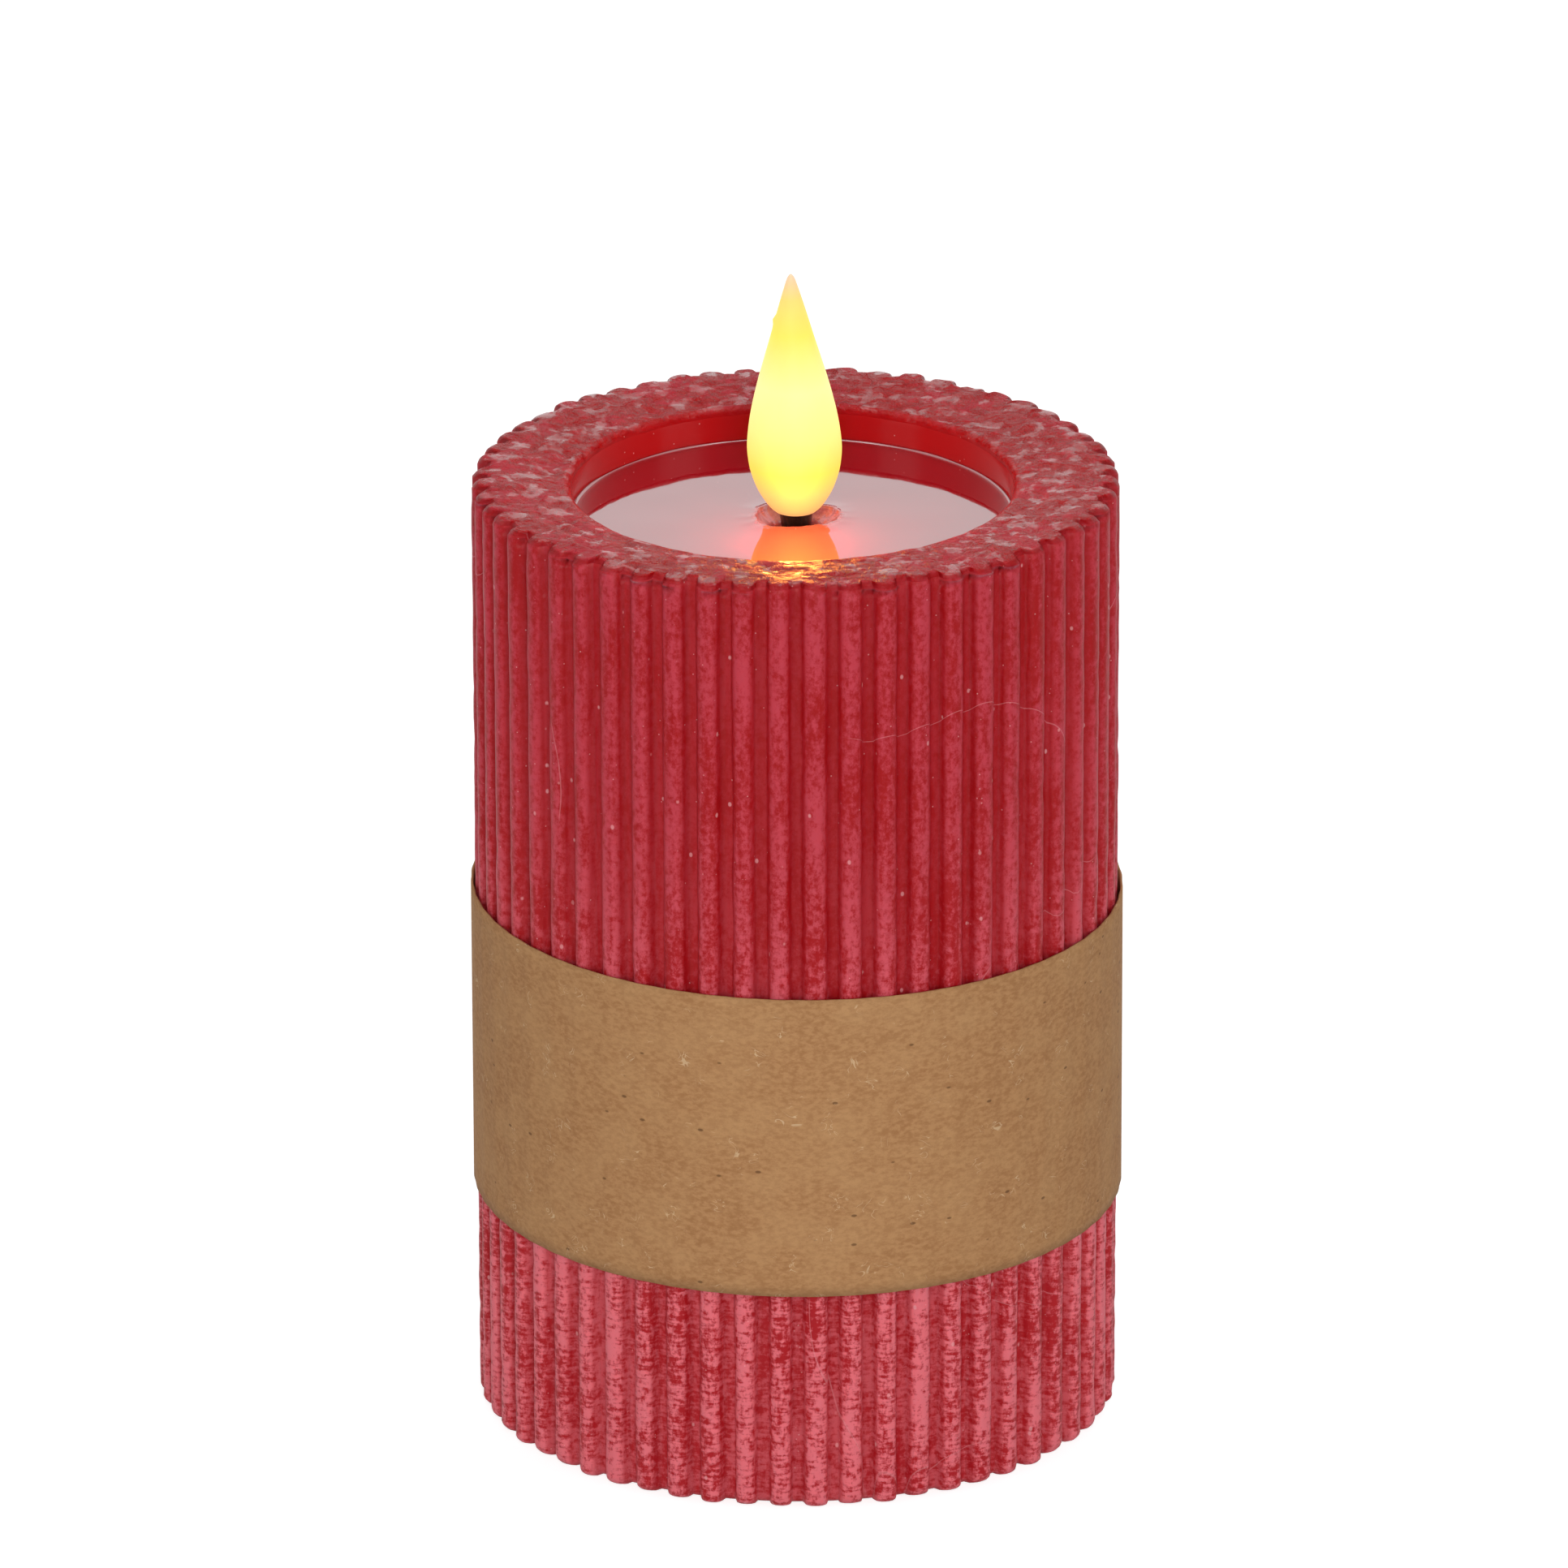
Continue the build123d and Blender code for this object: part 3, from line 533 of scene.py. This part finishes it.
def rim_height(x, y, r):
    """Height of the melted rim: it slopes inwards, with lumps, and streaks that run round it."""
    share = smooth(r, RECESS_R, CREST_R - 2.0)
    slope = PILLAR_TOP - 1.3 + 0.80 * share
    around = math.atan2(y, x) * 9.0
    streak = wobble(r * 1.5, around, 0, 1.6, 14)
    # The streaks die out at the far left, where the angle jumps from one end of its range to the other.
    lumps = 0.26 * wobble(x, y, 0, 2.4, 4) + 0.26 * wobble(x, y, 0, 6.0, 5)
    lumps += 0.14 * wobble(x, y, 0, 1.2, 6) + 0.20 * streak * smooth(abs(around), 28.2, 24.0)
    return slope + lumps * smooth(r, RECESS_R + 0.2, RECESS_R + 2.0)


FOOT_ROUND = 0.9  # radii of the wax's worn edges: the ribs' ends, and the edge of the recess
HEAD_ROUND = 1.1
INNER_ROUND = 0.9
RIM_INSET = 3.2  # from the crests to where the grooves have ended on the rim and the foot
TOP_LIMIT = PILLAR_TOP - 0.02
foot_turns = [math.radians(a) for a in (8, 30, 55, 78)]
head_turns = [math.radians(a) for a in (12, 30, 48, 66, 84)]
wall_heights = list(np.linspace(FOOT_ROUND, PILLAR_TOP - HEAD_ROUND - 0.3, 92))
rim_radii = list(np.linspace(CREST_R - RIM_INSET, RECESS_R + INNER_ROUND, 24))
inner_turns = [math.radians(a) for a in (15, 35, 55, 75, 90)]


def wax_column(rib, t, angle):
    """The closed outline of the wax at one angle: points, and crest, rim and recess amounts."""
    cos, sin = math.cos(angle), math.sin(angle)
    outline = []

    def put(r, z, crest=0.0, rim=0.0, well=0.0, shift=0.0):
        outline.append(((r * cos + shift, r * sin, z), crest, rim, well))

    put(BORE_R, LEDGE_Z)
    put(LEDGE_R - 0.2, LEDGE_Z)
    put(LEDGE_R, LEDGE_Z - 0.3)
    put(LEDGE_R, 0.5)
    put(LEDGE_R + 0.4, 0.06)
    put(LEDGE_R + 2.2, 0.0)
    foot = FOOT_ROUND + rib_foot[rib] * smooth(rib_shape(rib, t, 0), 0.3, 1)
    base_r, crest = outer_radius(rib, t, angle, 0)
    inner_r = base_r - foot * 0.8
    put(min(inner_r, CREST_R - RIM_INSET), 0.0)
    for turn in foot_turns:
        put(inner_r + foot * 0.8 * math.sin(turn), foot * (1 - math.cos(turn)) * 0.9, crest)
    for z in wall_heights:
        # Below the top of the rounded foot, the stations crowd together just above it.
        height = max(z, foot * 0.92 + (z - FOOT_ROUND) * 0.1) if z < foot else z
        r, crest = outer_radius(rib, t, angle, height)
        put(r, height, crest)
    top_r, crest = outer_radius(rib, t, angle, PILLAR_TOP - HEAD_ROUND)
    edge = rim_height(top_r * cos, top_r * sin, CREST_R) + rib_head[rib] * crest * 0.35
    edge = min(edge, TOP_LIMIT)
    for turn in head_turns:
        r = top_r - HEAD_ROUND * (1 - math.cos(turn))
        z = edge - HEAD_ROUND * (1 - math.sin(turn))
        put(r, z, crest * (1 - turn / 1.6), smooth(turn, 0.5, 1.4))
    for r in rim_radii:
        shift = RECESS_X * smooth(r, CREST_R - 4, RECESS_R)
        put(r, min(rim_height(r * cos, r * sin, r), TOP_LIMIT), 0, 1, 0, shift)
    lip_r = RECESS_R + INNER_ROUND
    lip = rim_height(lip_r * cos, lip_r * sin, lip_r)
    for turn in inner_turns:
        r = lip_r - INNER_ROUND * math.sin(turn)
        share = turn / (math.pi / 2)
        put(r, lip - INNER_ROUND * (1 - math.cos(turn)), 0, 1 - share, share, RECESS_X)
    for z in np.linspace(lip - INNER_ROUND - 0.6, POOL_Z - 0.4, 6):
        put(RECESS_R + 0.04 * wobble(30 * cos, 30 * sin, z, 8.0, 7), z, 0, 0, 1, RECESS_X)
    put(RECESS_R, POOL_LOW, 0, 0, 1, RECESS_X)
    put(BORE_R, POOL_LOW)
    return outline


wax_columns = [
    wax_column(rib, t, CREST_START + FULL * (rib + t) / RIBS) for rib in range(RIBS) for t in RIB_STEPS
]
ring_piece("wax_body", wax_columns, ("crest", "rim", "well"), "red_wax", "wax_pillar")


# ---- Pool, with its meniscus and the ragged crater round the wick ----------------------
CRATER_R = 4.55
HOLE_R = 3.1  # the cleaner hole under the crater
LIP_WIDTH = 0.8
MENISCUS_WIDTH = 0.7
POOL_COLUMNS = 240


def crater_edge(angle):
    """Radius of the crater's ragged, lobed opening."""
    lobes = 0.42 * math.cos(2 * angle) + 0.30 * math.cos(3 * angle + 0.7) + 0.16 * math.sin(5 * angle)
    ragged = 0.30 * wobble(6 * math.cos(angle), 6 * math.sin(angle), 0, 1.6, 8)
    return CRATER_R + lobes * 0.75 + ragged


def pool_column(angle):
    """The closed outline of the pool layer at one angle: points, and how rough the wax is there."""
    cos, sin = math.cos(angle), math.sin(angle)
    edge = crater_edge(angle)
    rough = wobble(5 * cos, 5 * sin, 3, 1.1, 9)
    lip = 0.16 + 0.10 * rough
    outline = []

    def put(r, z, crater, share):
        outline.append(((r * cos + RECESS_X * share, r * sin, z), crater))

    hole = HOLE_R + 0.12 * rough
    put(hole, POOL_LOW, 1, 0)
    put(hole, POOL_Z - 2.0, 1, 0)
    put(hole + 0.15, POOL_Z - 1.55, 1, 0)
    for share in (0.15, 0.35, 0.55, 0.75, 0.9):
        r = hole + (edge - hole) * share
        bumpy = 0.22 * wobble(r * cos, r * sin, 0, 1.0, 10)
        put(r, POOL_Z - 1.5 + 1.35 * share**1.5 + bumpy, 1, 0)
    put(edge - 0.12, POOL_Z + lip * 0.5, 0.9, 0)
    put(edge + 0.08, POOL_Z + lip, 0.6, 0)
    put(edge + 0.35, POOL_Z + lip * 0.55, 0.25, 0)
    put(edge + LIP_WIDTH, POOL_Z + 0.03, 0.0, 0.05)
    outer = RECESS_R - POOL_GAP
    flat = outer - MENISCUS_WIDTH - edge - LIP_WIDTH
    for share in np.linspace(0.1, 1.0, 14):
        r = edge + LIP_WIDTH + flat * share
        put(r, POOL_Z + 0.025 * wobble(r * cos, r * sin, 0, 7.0, 11), 0, share)
    climb = 0.26 + 0.10 * wobble(20 * cos, 20 * sin, 0, 4.0, 12)
    for share in (0.3, 0.55, 0.75, 0.9, 1.0):
        put(outer - MENISCUS_WIDTH * (1 - share), POOL_Z + climb * share**3, 0, 1)
    put(outer, POOL_LOW, 0, 1)
    return outline


pool_columns = [pool_column(FULL * k / POOL_COLUMNS) for k in range(POOL_COLUMNS)]
ring_piece("pool_surface", pool_columns, ("crater",), "pool_wax", "pool_disc")


# ---- Flame and wick ---------------------------------------------------------------------
def lathe(name, outline, columns, slot, replaced, centre_x=lambda z: 0.0):
    """A turned piece of the candle from a closed outline of (radius, height); centre_x leans its axis."""
    points = []
    for r, z in outline:
        for k in range(columns):
            a = FULL * k / columns
            points.append((centre_x(z) + r * math.cos(a), r * math.sin(a), z))
    return make_piece(name, points, ring_faces(len(outline), columns), "candle", slot, replaced)


FLAME_H = FLAME_TOP - FLAME_LOW
FLAME_SHAPE = (  # share of the height, radius in millimetres
    (0.000, 2.45), (0.020, 3.05), (0.055, 3.75), (0.10, 4.45), (0.16, 5.05), (0.21, 5.33), (0.267, 5.46),
    (0.33, 5.33), (0.41, 4.99), (0.495, 4.46), (0.575, 3.87), (0.66, 3.17), (0.745, 2.46), (0.83, 1.78),
    (0.90, 1.20), (0.955, 0.72), (0.985, 0.42), (1.0, 0.12),
)


def catmull(a, b, c, d, t):
    """The value at t, from 0 at b to 1 at c, on a smooth curve through four values."""
    bend = 2 * a - 5 * b + 4 * c - d
    swing = 3 * b - a - 3 * c + d
    return 0.5 * (2 * b + (c - a) * t + bend * t**2 + swing * t**3)


def smooth_line(points, steps):
    """A smooth line through points, with so many steps between each two."""
    line = []
    for i in range(len(points) - 1):
        before = points[max(i - 1, 0)]
        after = points[min(i + 2, len(points) - 1)]
        spans = list(zip(before, points[i], points[i + 1], after))
        line += [tuple(catmull(*span, step / steps) for span in spans) for step in range(steps)]
    return line + [points[-1]]


FLAME_WALL = 1.0
flame_line = [(r, FLAME_LOW + share * FLAME_H) for share, r in smooth_line(FLAME_SHAPE, 4)]
flame_hollow = [
    (max(r - FLAME_WALL, 0.05), z)
    for r, z in flame_line
    if FLAME_LOW + FLAME_WALL < z < FLAME_LOW + 0.88 * FLAME_H
]
flame_neck = [(2.15, FLAME_LOW + 0.9), (2.13, FLAME_LOW + 0.08), (2.25, FLAME_LOW)]


def flame_axis(z):
    """The flame leans a little to the left and curls a touch more at its tip."""
    share = (z - FLAME_LOW) / FLAME_H
    return -0.05 - 0.45 * share - 0.05 * share**3


def add_nub(piece, nub_z, half_h=0.38, half_y=0.35, nub_out=0.30):
    """A small moulding nub on the left of the flame's tip."""
    for vertex in piece.data.vertices:
        x, y, z = vertex.co / MM
        near = math.exp(-(((z - nub_z) / half_h) ** 2) - ((y / half_y) ** 2))
        if x < flame_axis(z) - 1.0:
            vertex.co.x -= nub_out * near * MM


flame_outline = flame_neck + flame_line + flame_hollow[::-1]
flame = lathe("flame_bulb", flame_outline, 96, "flame_plastic", "flame_shell", flame_axis)
add_nub(flame, FLAME_LOW + 0.805 * FLAME_H)

STEM_BORE_R = 0.95
STEM_FOOT_R = 1.6
stem_outline = [
    (STEM_BORE_R, STEM_LOW), (STEM_FOOT_R - 0.05, STEM_LOW), (STEM_FOOT_R, STEM_LOW + 0.1),
    (STEM_FOOT_R, POOL_Z - 3.2), (1.64, POOL_Z - 2.2), (1.72, POOL_Z - 1.2), (1.84, POOL_Z - 0.3),
    (1.94, FLAME_LOW - 0.35), (STEM_R, FLAME_LOW - 0.1), (STEM_R, STEM_TOP - 0.1),
    (STEM_R - 0.1, STEM_TOP), (STEM_BORE_R, STEM_TOP),
]
lathe("wick_stem", stem_outline, 64, "black_gloss", "flame_stem")


# ---- Paper band -------------------------------------------------------------------------
BAND_COLUMNS = RIBS * 8
LAP_HALF = 7.0 / BAND_OUT  # half the glued lap, as an angle
LAP_RISE = BAND_THICK + 0.03
band_rows = list(np.linspace(0, 1, 26))


def band_radius(angle, share):
    """The paper bridges the ribs, so it sinks a little between two crests."""
    rib_phase = math.cos((angle - CREST_START) * RIBS)
    wave = 0.03 * wobble(12 * math.cos(angle), 12 * math.sin(angle), share * 3, 6.0, 13)
    return BAND_OUT - 0.09 + 0.035 * rib_phase + wave


def band_height(angle, share):
    """Cut edges, almost level: the band sits a little higher on its left."""
    tilt = -0.32 * math.cos(angle)
    low = BAND_LOW + 0.35 + tilt
    high = BAND_TOP - 0.05 + tilt * 1.4
    return low + (high - low) * share


def band_points(start, end, columns, lift):
    """The paper's outer and inner skins from one cut end to the other."""
    outside, inside = [], []
    for share in band_rows:
        for k in range(columns):
            a = start + (end - start) * k / (columns - 1)
            r, z = band_radius(a, share) + lift(a), band_height(a, share)
            outside.append((r * math.cos(a), r * math.sin(a), z))
            inside.append(((r - BAND_THICK) * math.cos(a), (r - BAND_THICK) * math.sin(a), z))
    return outside, inside


def strip_faces(columns):
    """Two skins of a strip and the edges that close it."""
    rows, faces = len(band_rows), []
    inner = rows * columns
    for i in range(rows - 1):
        for k in range(columns - 1):
            a = i * columns + k
            quad = (a, a + 1, a + 1 + columns, a + columns)
            faces.append(quad)
            faces.append(tuple(inner + v for v in reversed(quad)))
    for k in range(columns - 1):
        top = (rows - 1) * columns + k
        faces.append((k + 1, k, inner + k, inner + k + 1))
        faces.append((top, top + 1, inner + top + 1, inner + top))
    for i in range(rows - 1):
        left, right = i * columns, i * columns + columns - 1
        faces.append((left, left + columns, inner + left + columns, inner + left))
        faces.append((right + columns, right, inner + right, inner + right + columns))
    return faces


def lap_lift(angle):
    """How far the outer end rises onto the inner one along the glued lap."""
    past = angle - (math.pi / 2 + FULL - LAP_HALF)
    return LAP_RISE * smooth(past, -0.02, 0.02)


band_start = math.pi / 2 - LAP_HALF
outside, inside = band_points(band_start, band_start + FULL + 2 * LAP_HALF, BAND_COLUMNS, lap_lift)
band_faces = strip_faces(BAND_COLUMNS)
make_piece("paper_band", outside + inside, band_faces, "band", "kraft_paper", "kraft_band")


# ---- Floor, lights and world ------------------------------------------------------------
def pale_material(name, seen, lit):
    """White where the camera or a reflection looks at it, and plain diffuse for the shadow."""
    g = Graph(name)
    paths = g.add("LightPath").outputs
    direct = g.math("MAXIMUM", paths["Is Camera Ray"], paths["Is Glossy Ray"])
    direct = g.math("MAXIMUM", direct, paths["Is Transmission Ray"])
    diffuse = g.add("BsdfDiffuse", {"Color": (lit, lit, lit, 1)}).outputs[0]
    glow = g.add("Emission", {"Color": (1, 1, 1, 1), "Strength": g.times(direct, seen)}).outputs[0]
    both = g.add("AddShader", {0: diffuse, 1: glow}).outputs[0]
    g.add("OutputMaterial", {"Surface": both})
    return g.material


def add_floor(half=4.0):
    corners = [(-half, -half, 0), (half, -half, 0), (half, half, 0), (-half, half, 0)]
    mesh = bpy.data.meshes.new("floor")
    mesh.from_pydata(corners, [], [(0, 1, 2, 3)])
    mesh.materials.append(pale_material("pale_floor", 0.78, 0.50))
    floor = bpy.data.objects.new("floor", mesh)
    floor.location.z = -0.00005
    bpy.context.scene.collection.objects.link(floor)


def add_world(lit):
    """A white studio to look at and to mirror, which lights the object more softly than that."""
    world = bpy.data.worlds.new("studio")
    bpy.context.scene.world = world
    world.use_nodes = True
    nodes, links = world.node_tree.nodes, world.node_tree.links
    nodes.clear()
    paths = nodes.new("ShaderNodeLightPath")
    seen = nodes.new("ShaderNodeMath")
    seen.operation = "MAXIMUM"
    links.new(paths.outputs["Is Camera Ray"], seen.inputs[0])
    links.new(paths.outputs["Is Glossy Ray"], seen.inputs[1])
    strength = nodes.new("ShaderNodeMapRange")
    strength.inputs["To Min"].default_value = lit
    strength.inputs["To Max"].default_value = 1.0
    links.new(seen.outputs[0], strength.inputs["Value"])
    background = nodes.new("ShaderNodeBackground")
    background.inputs["Color"].default_value = (1, 1, 1, 1)
    links.new(strength.outputs[0], background.inputs["Strength"])
    output = nodes.new("ShaderNodeOutputWorld")
    links.new(background.outputs[0], output.inputs["Surface"])


add_floor()
add_world(0.21)
TARGET = (0, 0, 0.07)


def softbox(name, place, width, height, power):
    """A rectangular light that faces the middle of the candle."""
    light = bpy.data.lights.new(name, "AREA")
    light.shape = "RECTANGLE"
    light.size, light.size_y = width, height
    light.energy = power
    lamp = bpy.data.objects.new(name, light)
    lamp.location = place
    lamp.rotation_euler = (Vector(TARGET) - Vector(place)).to_track_quat("-Z", "Y").to_euler()
    bpy.context.scene.collection.objects.link(lamp)
    return lamp


def flame_glow(place, power):
    """A small warm lamp at the foot of the flame, for the light that the flame throws on the wax."""
    light = bpy.data.lights.new("flame_glow", "POINT")
    light.energy = power
    light.color = (1.0, 0.26, 0.05)
    light.shadow_soft_size = 0.003
    lamp = bpy.data.objects.new("flame_glow", light)
    lamp.location = place
    lamp.visible_camera = False
    bpy.context.scene.collection.objects.link(lamp)


flame_glow((0, -0.010, (POOL_Z + 5.0) * MM), 0.010)
softbox("softbox_left", (-0.75, -0.45, 0.45), 0.35, 0.7, 1.35)
softbox("softbox_right", (0.75, -0.40, 0.45), 0.35, 0.7, 1.35)
softbox("softbox_top", (0.0, 0.25, 0.95), 0.7, 0.5, 2.2)
softbox("softbox_front", (0.05, -1.2, 0.45), 0.35, 0.5, 7.6)
# The light behind fills the back and isn't mirrored in the pool.
back_light = softbox("softbox_back", (0.15, 1.15, 0.50), 0.5, 0.6, 3.0)
back_light.visible_glossy = False

bpy.context.scene.view_settings.view_transform = "Standard"
